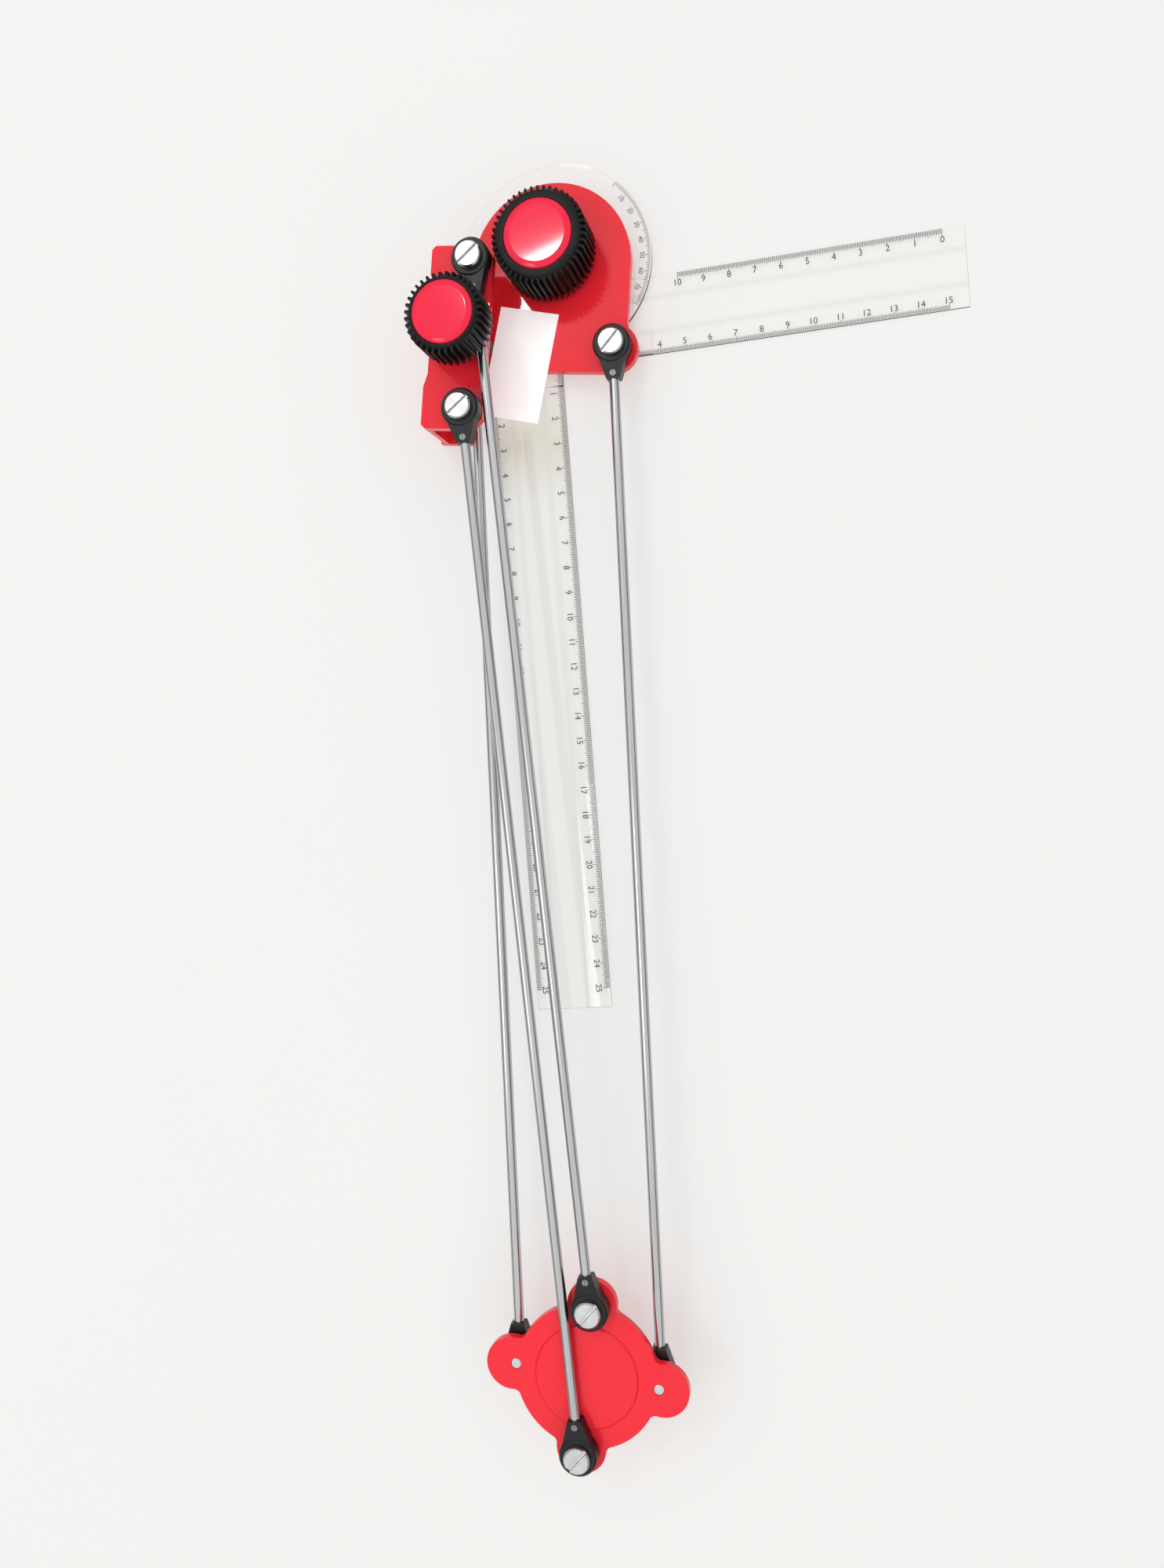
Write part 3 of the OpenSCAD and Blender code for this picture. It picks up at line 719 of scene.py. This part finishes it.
def finish_node(name, material, edge=None, angle=35.0, shrink=None):
    """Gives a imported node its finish, and rounds its sharp edges by edge metres where given.

    A shrink in metres draws the faces in, so that two clear bodies that touch do not share a face.
    """
    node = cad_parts[name]
    for k in range(len(node.material_slots)):
        node.material_slots[k].material = material
    if edge:
        weld = node.modifiers.new("Weld", "WELD")
        weld.merge_threshold = 1e-6
        if shrink:
            draw_in = node.modifiers.new("Part the faces", "DISPLACE")
            draw_in.strength = -shrink
            draw_in.mid_level = 0.0
        flatten = node.modifiers.new("Join flat triangles", "DECIMATE")
        flatten.decimate_type = "DISSOLVE"
        flatten.angle_limit = math.radians(0.2)
        round_off = node.modifiers.new("Round edges", "BEVEL")
        round_off.width = edge
        round_off.segments = 3
        round_off.limit_method = "ANGLE"
        round_off.angle_limit = math.radians(angle)
        round_off.miter_outer = "MITER_ARC"
        shade = node.modifiers.new("Weighted normals", "WEIGHTED_NORMAL")
        shade.keep_sharp = True


# Operators, one for each group of pieces


class DRAFTING_OT_castings(bpy.types.Operator):
    """Enamel and rounded edges on the clamp, the elbow plate and the head plate"""

    bl_idname = "drafting.castings"
    bl_label = "Finish the castings"

    def execute(self, context):
        colours = context.scene.drafting_colours
        enamel = painted(
            "Red enamel", colours.enamel, colours.enamel_shade, roughness=0.22, patch=55.0,
            grain=900.0, depth=0.06 * MM, coat=0.45, shine=0.05,
            # Lighter enamel on the edges: partly wear, partly a painted edge highlight
            edge_wear_and_sheen=[min(1.0, c * 1.01 + 0.03) for c in colours.enamel],
        )
        for name in ("clamp_body", "elbow_plate", "head_plate"):
            finish_node(name, enamel, 0.5 * MM)
        return {"FINISHED"}


class DRAFTING_OT_arms(bpy.types.Operator):
    """Bright rods, black rod ends, washers and grub screws"""

    bl_idname = "drafting.arms"
    bl_label = "Finish the arms"

    def execute(self, context):
        colours = context.scene.drafting_colours
        rod = rod_steel("Bright rod", colours.rod)
        end = painted(
            "Rod end plastic", colours.plastic, toned(colours.plastic, 0.7), roughness=0.34,
            patch=200.0, grain=2500.0, edge_wear_and_sheen=colours.plastic_worn,
        )
        washer = painted(
            "Washer fibre", toned(colours.plastic, 1.6), colours.plastic, roughness=0.55,
            patch=500.0, grain=4000.0,
        )
        dark = toned(colours.steel, 0.4)
        small = turned_steel("Grub screw steel", dark, [ORIGIN], 0.4)
        for body in ("clamp_rod_a", "clamp_rod_b", "head_rod_a", "head_rod_b"):
            finish_node(body, rod)
            finish_node(body + "_grub_screws", small)
        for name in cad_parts:
            if name.endswith("_end"):
                finish_node(name, end, 0.35 * MM)
            if name.endswith("_washers"):
                finish_node(name, washer)
        return {"FINISHED"}


class DRAFTING_OT_fasteners(bpy.types.Operator):
    """Turned steel screws, spindle and rivets, brass bush and inserts"""

    bl_idname = "drafting.fasteners"
    bl_label = "Finish the fasteners"

    def execute(self, context):
        colours = context.scene.drafting_colours
        for place in ("clamp_pivot", "elbow_upper", "elbow_lower", "head_pivot"):
            name = place + "_screws"
            steel = turned_steel("Turned " + name, colours.steel, screw_axes(name))
            finish_node(name, steel, 0.2 * MM, 50.0)
        press_axis = middle_of("clamp_knob_insert")
        plain = turned_steel("Turned centre steel", colours.steel, [ORIGIN])
        press = turned_steel("Turned press steel", colours.steel, [press_axis])
        brass = turned_steel("Turned centre brass", colours.brass, [ORIGIN])
        press_brass = turned_steel("Turned press brass", colours.brass, [press_axis])
        dark = painted(
            "Black fittings", colours.plastic, toned(colours.plastic, 0.7), roughness=0.45,
            patch=300.0, grain=3000.0,
        )
        for name in ("centre_spindle", "hub_rivets", "scale_screws", "spring_washer"):
            finish_node(name, plain)
        finish_node("press_screw", press)
        finish_node("clamp_knob_insert", press_brass)
        for name in ("head_bush", "lock_knob_insert"):
            finish_node(name, brass)
        for name in ("friction_ring", "press_pad"):
            finish_node(name, dark)
        return {"FINISHED"}


def middle_of(name):
    """The middle of a node's box."""
    low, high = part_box(name)
    return (low + high) / 2


def screw_axes(name):
    """The two axes of a node that holds two upright screws: its points parted about its middle."""
    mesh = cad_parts[name].data
    points = np.zeros(len(mesh.vertices) * 3)
    mesh.vertices.foreach_get("co", points)
    points = points.reshape(-1, 3)[:, :2]
    spread = points - points.mean(0)
    direction = np.linalg.svd(spread, full_matrices=False)[2][0]
    side = spread @ direction > 0
    halves = [points[side], points[~side]]
    return [Vector((*((h.min(0) + h.max(0)) / 2), 0.0)) for h in halves]


class DRAFTING_OT_knobs(bpy.types.Operator):
    """Two ribbed knobs and their caps"""

    bl_idname = "drafting.knobs"
    bl_label = "Make the knobs"

    def execute(self, context):
        colours = context.scene.drafting_colours
        knobs = context.scene.drafting_knobs
        skin = painted(
            "Knob plastic", colours.plastic, toned(colours.plastic, 0.7), roughness=0.36,
            patch=160.0, grain=2200.0, edge_wear_and_sheen=colours.plastic_worn, shine=0.15,
        )
        red = painted(
            "Cap plastic", colours.cap, colours.cap_shade, roughness=0.13, spread=0.05, patch=70.0,
            grain=500.0, coat=0.5, shine=0.05,
        )
        make_knob(
            "lock_knob_ribbed", "lock_knob", "lock_knob", knobs.lock_ribs, knobs, skin,
            hub=9.5, bore=7.02,
        )
        make_knob(
            "clamp_knob_ribbed", "clamp_knob", "press_screw", knobs.clamp_ribs, knobs, skin,
            hub=8.0, bore=6.02,
        )
        make_cap("lock_knob_cap_domed", "lock_knob_cap", "lock_knob", knobs, red)
        make_cap("clamp_knob_cap_domed", "clamp_knob_cap", "press_screw", knobs, red)
        return {"FINISHED"}


def make_knob(name, node, body, ribs, knobs, material, hub, bore):
    """A ribbed knob in the place of a packed one.

    The profile runs from the middle of the recess for the cap, over the rounded crown, down the
    skirt, under the hollow and up the blind bore, with the hub and the bore as radii in mm. Each
    ring of the skirt swells by the rib depth times a rounded square wave of the angle, and that
    swell fades in over the rings at both ends of the ribs. A row is (radius, height, share of
    the swell) in mm.
    """
    low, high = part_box(node)
    centre = (low + high) / 2
    base, h = low.z, (high.z - low.z) / MM
    tip = (high.x - low.x) / 2 / MM
    depth = knobs.rib_depth / MM
    r = tip - depth
    cap_low, cap_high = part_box(node + "_cap")
    recess = (cap_high.x - cap_low.x) / 2 / MM + CAP_GAP
    seat = h - CAP_SINK
    inner, roof = r - SKIRT_WALL, h - HOLLOW_END
    blind = h - BORE_END
    rows = np.array([
        (0, seat, 0), (recess, seat, 0), (recess, h - 0.25, 0), (recess + 0.25, h, 0),
        (r - 0.9, h, 0), (r - 0.55, h - 0.08, 0), (r - 0.25, h - 0.26, 0), (r - 0.06, h - 0.5, 0),
        (r, h - 0.75, 0), (r, h - 0.9, 0.55), (r, h - 1.1, 0.9), (r, h - 1.5, 1), (r, h * 0.5, 1),
        (r, 1.4, 1), (r, 1.0, 0.9), (r, 0.75, 0.5), (r, 0.6, 0), (r - 0.2, 0.2, 0),
        (r - 0.6, 0, 0), (inner, 0, 0), (inner, roof, 0), (hub, roof, 0), (hub, 0, 0),
        (bore, 0, 0), (bore, blind, 0), (0, blind, 0),
    ])
    columns = ribs * RIB_POINTS
    phase = np.cos(2 * np.pi * ribs * np.arange(columns) / columns)
    wave = 1 / (1 + np.exp(-RIB_STEEP * (phase - RIB_NARROW)))
    wave = (wave - wave.min()) / (wave.max() - wave.min())
    swell = rows[1:-1, 2:3] * wave[None, :] * depth
    verts, faces = turned_surface(rows[:, :2], columns, swell)
    verts = verts * MM + [centre.x, centre.y, base]
    piece = add_mesh(name, verts, faces, body, "black_plastic", material, 42.0)
    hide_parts(node)


def make_cap(name, node, body, knobs, material):
    """A knob's cap: a nearly flat dome z = top - dome (r / R)^2, a small step, a slanted rim."""
    low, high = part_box(node)
    centre = (low + high) / 2
    r = (high.x - low.x) / 2 / MM
    t = (high.z - low.z) / MM
    dome = knobs.dome / MM
    inner = r - CAP_RIM
    share = np.linspace(0, 1, 9)
    top = [(inner * s, t - dome * s * s) for s in share]
    edge = top[-1][1]
    rows = top + [
        (inner + 0.12, edge - 0.1), (inner + 0.3, edge - 0.12), (r - 0.35, edge - 0.34),
        (r - 0.12, edge - 0.52), (r, edge - 0.8), (r, 0.0), (0, 0.0),
    ]
    verts, faces = turned_surface(np.array(rows), CAP_POINTS)
    verts = verts * MM + [centre.x, centre.y, low.z]
    piece = add_mesh(name, verts, faces, body, "red_cap", material, 50.0)
    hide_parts(node)


class DRAFTING_OT_scales(bpy.types.Operator):
    """Clear finish on the square and the protractor disc"""

    bl_idname = "drafting.scales"
    bl_label = "Finish the scales"

    def execute(self, context):
        tint = context.scene.drafting_colours.acrylic
        blade = clear_plastic("Clear blade acrylic", tint)
        finish_node("blade_square", blade, 0.15 * MM, shrink=0.03 * MM)
        disc = clear_plastic("Clear disc acrylic", tint)
        finish_node("protractor_disc", disc, 0.5 * MM, shrink=0.03 * MM)
        return {"FINISHED"}


def blade_height(inset):
    """Height of a blade's top face at a distance in from its edge: a bevel, then flat."""
    return EDGE_T + (BLADE_T - EDGE_T) * np.clip(np.asarray(inset, float) / BEVEL_W, 0, 1)


def edge_ticks(centimetres, lengths, scales):
    """Half-millimetre graduations along an edge, as bars in the edge's own frame.

    x runs along the edge from its zero and y runs in from it. Bar i stands at x = i / 2 mm, and
    its length is that of the largest of 10, 5, 1 and 0.5 mm that divides it.
    """
    i = np.arange(20 * centimetres + 1)
    steps = [i % 20 == 0, i % 10 == 0, i % 2 == 0]
    length = np.select(steps, lengths[:3], lengths[3]) * MM
    x = i * 0.5 * MM
    low = np.stack([x - scales.line / 2, np.full(len(i), LINE_INSET)], axis=-1)
    high = np.stack([x + scales.line / 2, LINE_INSET + length], axis=-1)
    return boxes(low, high, blade_height(low[:, 1]), blade_height(high[:, 1]), scales.film)


def on_edge(verts, origin, along, inward):
    """Takes points from an edge's own frame to the frame of the model."""
    flat = np.asarray(origin) + verts[:, :2] @ np.array([along, inward], float)
    return np.column_stack([flat, verts[:, 2]])


def turn_points(verts, angle):
    """Points turned about +Z by one angle or each by its own: x cos - y sin, x sin + y cos, z."""
    x, y, z = verts.T
    c, s = np.cos(angle), np.sin(angle)
    return np.column_stack([x * c - y * s, x * s + y * c, z])


def face_up(verts, faces):
    """Turns faces round where an edge's frame was mirrored, so that they still point outwards."""
    return verts, [face[::-1] for face in faces]


class DRAFTING_OT_graduations(bpy.types.Operator):
    """Graduation lines and plain numbers on both blades and the protractor disc"""

    bl_idname = "drafting.graduations"
    bl_label = "Make the graduations"

    def execute(self, context):
        scales = context.scene.drafting_scales
        colours = context.scene.drafting_colours
        ink = painted(
            "Scale ink", colours.ink, toned(colours.ink, 1.5), roughness=0.5, patch=900.0,
            grain=5000.0, depth=0.01 * MM,
        )
        x0, y0 = CORNER
        outer_x, outer_y = x0 - BLADE_W, y0 + BLADE_W
        long_edge = edge_ticks(LONG_CM, LINES, scales)
        inner_short = edge_ticks(SHORT_CM, SHORT_LINES, scales)
        outer_short = edge_ticks(OUTER_CM, LINES, scales)
        long_parts = [
            face_up(on_edge(long_edge[0], (x0, y0), (0, -1), (-1, 0)), long_edge[1]),
            (on_edge(long_edge[0], (outer_x, y0), (0, -1), (1, 0)), long_edge[1]),
        ]
        start = (OUTER_START, outer_y)
        short_parts = [
            (on_edge(inner_short[0], (x0, y0), (1, 0), (0, 1)), inner_short[1]),
            face_up(on_edge(outer_short[0], start, (1, 0), (0, -1)), outer_short[1]),
        ]
        down = math.radians(-90)
        rows = (
            (x0 - LONG_INNER_NUMBERS, LONG_INNER_NUMBERS),
            (outer_x + LONG_OUTER_NUMBERS, LONG_OUTER_NUMBERS),
        )
        for x, inset in rows:
            for n in range(LONG_CM + 1):
                long_parts.append(self.number(n, (x, y0 - 10 * n * MM), down, inset, scales))
        y = y0 + SHORT_INNER_NUMBERS
        for n in range(1, SHORT_CM + 1):
            place = (x0 + 10 * n * MM, y)
            short_parts.append(self.number(n, place, 0.0, SHORT_INNER_NUMBERS, scales))
        y = outer_y - SHORT_OUTER_NUMBERS
        for n in range(OUTER_CM + 1):
            place = (OUTER_START + 10 * (OUTER_CM - n) * MM, y)
            short_parts.append(self.number(n, place, 0.0, SHORT_OUTER_NUMBERS, scales))
        add_mesh("long_blade_graduations", *gather(long_parts), "scales", "black_plastic", ink)
        add_mesh("short_blade_graduations", *gather(short_parts), "scales", "black_plastic", ink)
        add_mesh("disc_graduations", *self.disc_marks(scales), "scales", "black_plastic", ink)
        return {"FINISHED"}

    def number(self, n, place, turn, inset, scales):
        """One number laid on a blade at a point, turned about +Z.

        It lies level with the bevel below its inner side, which is the highest under it.
        """
        verts, faces = digits_mesh(str(n), scales.digit, scales.film)
        lift = float(blade_height(inset + scales.digit / 2))
        return turn_points(verts, turn) + [*place, lift], faces

    def disc_marks(self, scales):
        """Degree lines and numbers round the disc's rim, on its top face.

        Line i stands at angle ARC_ZERO - i degrees, from radius R - ARC_GAP inwards. A bar along
        +X is turned to each angle with one array product.
        """
        low, high = DISC_BOX
        rim = (high.x - low.x) / 2 - ARC_GAP
        top = high.z
        i = np.arange(ARC_DEGREES + 1)
        count = len(i)
        length = np.select([i % 10 == 0, i % 5 == 0], ARC_LINES[:2], ARC_LINES[2]) * MM
        start = np.stack([rim - length, np.full(count, -scales.line / 2)], axis=-1)
        end = np.stack([np.full(count, rim), np.full(count, scales.line / 2)], axis=-1)
        flat = np.full(count, top)
        verts, faces = boxes(start, end, flat, flat, scales.film)
        parts = [(turn_points(verts, np.repeat(np.radians(ARC_ZERO - i), 8)), faces)]
        for n in range(10, ARC_DEGREES, 10):
            angle = math.radians(ARC_ZERO - n)
            verts, faces = digits_mesh(str(n), scales.disc_digit, scales.film)
            place = [ARC_NUMBERS * math.cos(angle), ARC_NUMBERS * math.sin(angle), top]
            parts.append((turn_points(verts, angle - math.pi / 2) + place, faces))
        return gather(parts)


class DRAFTING_OT_tag(bpy.types.Operator):
    """Card finish on the blank tag, with a painted glow that lightens it"""

    bl_idname = "drafting.tag"
    bl_label = "Finish the tag"

    def execute(self, context):
        colours = context.scene.drafting_colours
        card = painted(
            "Tag card", colours.card, toned(colours.card, 0.97), roughness=0.75, spread=0.05,
            patch=90.0, grain=1800.0, depth=0.04 * MM,
        )
        # Painted light: the card glows a little so that it reads bright next to the knobs
        painted_glow = card.node_tree.nodes["Principled BSDF"].inputs
        painted_glow["Emission Color"].default_value = rgba(colours.card)
        painted_glow["Emission Strength"].default_value = CARD_PAINTED_LIGHT
        finish_node("blank_tag", card)
        return {"FINISHED"}


class DRAFTING_OT_studio(bpy.types.Operator):
    """Plain pale floor, soft lamps and the camera of the photograph"""

    bl_idname = "drafting.studio"
    bl_label = "Set the studio"

    def execute(self, context):
        stage = context.scene.drafting_stage
        self.floor(stage)
        self.world(stage)
        self.lamp("Key lamp", *KEY_LAMP, stage.key)
        self.lamp("Glint lamp", *GLINT_LAMP, stage.glint)
        self.camera(context, stage)
        context.scene.view_settings.view_transform = "Standard"
        return {"FINISHED"}

    def floor(self, stage):
        """A square of four metres just under the scales, with a faint paper grain."""
        material, tree, shader, vector = new_finish("Pale floor")
        lit = toned(stage.floor, 1 - stage.glow)
        look = place_group(tree, "blotch", vector, {
            "Colour": rgba(lit), "Shade": rgba(toned(lit, 0.985)), "Patch Scale": 6.0,
            "Grain Scale": 800.0, "Roughness": 0.85, "Spread": 0.05,
        })
        shader.inputs["Emission Color"].default_value = rgba(stage.floor)
        shader.inputs["Emission Strength"].default_value = stage.glow
        tree.links.new(look.outputs["Colour"], shader.inputs["Base Color"])
        tree.links.new(look.outputs["Roughness"], shader.inputs["Roughness"])
        shader.inputs["Specular IOR Level"].default_value = 0.15
        s = FLOOR_HALF
        z = CAD_BOX[0].z - 0.1 * MM
        corners = [(-s, -s, z), (s, -s, z), (s, s, z), (-s, s, z)]
        mesh = bpy.data.meshes.new("floor")
        mesh.from_pydata(corners, [], [[0, 1, 2, 3]])
        mesh.materials.append(material)
        floor = bpy.data.objects.new("floor", mesh)
        bpy.context.scene.collection.objects.link(floor)

    def world(self, stage):
        """Soft light that grows from the horizon to the sky with the height of the direction."""
        world = bpy.data.worlds.new("Soft studio")
        bpy.context.scene.world = world
        world.use_nodes = True
        tree = world.node_tree
        coords = tree.nodes.new("ShaderNodeTexCoord")
        split = tree.nodes.new("ShaderNodeSeparateXYZ")
        tree.links.new(coords.outputs["Generated"], split.inputs[0])
        grow = tree.nodes.new("ShaderNodeMapRange")
        grow.interpolation_type = "SMOOTHSTEP"
        grow.inputs["From Min"].default_value = 0.12
        grow.inputs["From Max"].default_value = 0.66
        grow.inputs["To Min"].default_value = stage.horizon
        grow.inputs["To Max"].default_value = stage.sky
        tree.links.new(split.outputs["Z"], grow.inputs["Value"])
        tree.links.new(grow.outputs["Result"], tree.nodes["Background"].inputs["Strength"])
        tree.nodes["Background"].inputs["Color"].default_value = (1.0, 1.0, 1.0, 1.0)

    def lamp(self, name, place, size, slant, power):
        """A rectangular area lamp that looks down, with its long side slanted from +X."""
        light = bpy.data.lights.new(name, "AREA")
        light.shape = "RECTANGLE"
        light.size, light.size_y = size
        light.energy = power
        lamp = bpy.data.objects.new(name, light)
        bpy.context.scene.collection.objects.link(lamp)
        lamp.location = place
        lamp.rotation_euler = (0.0, 0.0, math.radians(slant))

    def camera(self, context, stage):
        """The camera fitted to the photograph: its axes are the rows of the fitted rotation."""
        right = Vector((0.97413243, -0.0771456, -0.21240188))
        down = Vector((-0.07328165, -0.99697189, 0.0260165))
        ahead = Vector((-0.21376576, -0.00977835, -0.97683601))
        data = bpy.data.cameras.new("Camera")
        data.lens = stage.lens
        data.sensor_width = 36.0
        data.clip_start = 0.01
        data.clip_end = 20.0
        data.dof.use_dof = False
        camera = bpy.data.objects.new("Camera", data)
        context.scene.collection.objects.link(camera)
        turn = Matrix((right, -down, -ahead)).transposed().to_4x4()
        camera.matrix_world = Matrix.Translation(CAMERA_PLACE) @ turn
        context.scene.camera = camera


class DRAFTING_PT_panel(bpy.types.Panel):
    """Lists the operators and their settings in the sidebar"""

    bl_idname = "DRAFTING_PT_panel"
    bl_label = "Drafting machine"
    bl_space_type = "VIEW_3D"
    bl_region_type = "UI"
    bl_category = "Drafting machine"

    def draw(self, context):
        for cls in OPERATORS:
            self.layout.operator(cls.bl_idname)
        for group in (context.scene.drafting_colours, context.scene.drafting_knobs,
                      context.scene.drafting_scales, context.scene.drafting_stage):
            box = self.layout.box()
            for key in group.__annotations__:
                box.prop(group, key)


SETTINGS = {
    "drafting_colours": DraftingColours,
    "drafting_knobs": DraftingKnobs,
    "drafting_scales": DraftingScales,
    "drafting_stage": DraftingStage,
}
OPERATORS = (
    DRAFTING_OT_castings,
    DRAFTING_OT_arms,
    DRAFTING_OT_fasteners,
    DRAFTING_OT_knobs,
    DRAFTING_OT_scales,
    DRAFTING_OT_graduations,
    DRAFTING_OT_tag,
    DRAFTING_OT_studio,
)


def register():
    """Registers the settings, the operators and the panel."""
    for name, cls in SETTINGS.items():
        bpy.utils.register_class(cls)
        setattr(bpy.types.Scene, name, bpy.props.PointerProperty(type=cls))
    for cls in (*OPERATORS, DRAFTING_PT_panel):
        bpy.utils.register_class(cls)


def unregister():
    """Takes away what register added, in reverse."""
    for cls in (DRAFTING_PT_panel, *reversed(OPERATORS)):
        bpy.utils.unregister_class(cls)
    for name, cls in reversed(SETTINGS.items()):
        delattr(bpy.types.Scene, name)
        bpy.utils.unregister_class(cls)


def main():
    """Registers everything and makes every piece."""
    register()
    for cls in OPERATORS:
        prefix, name = cls.bl_idname.split(".")
        getattr(getattr(bpy.ops, prefix), name)()


if __name__ == "__main__":
    main()
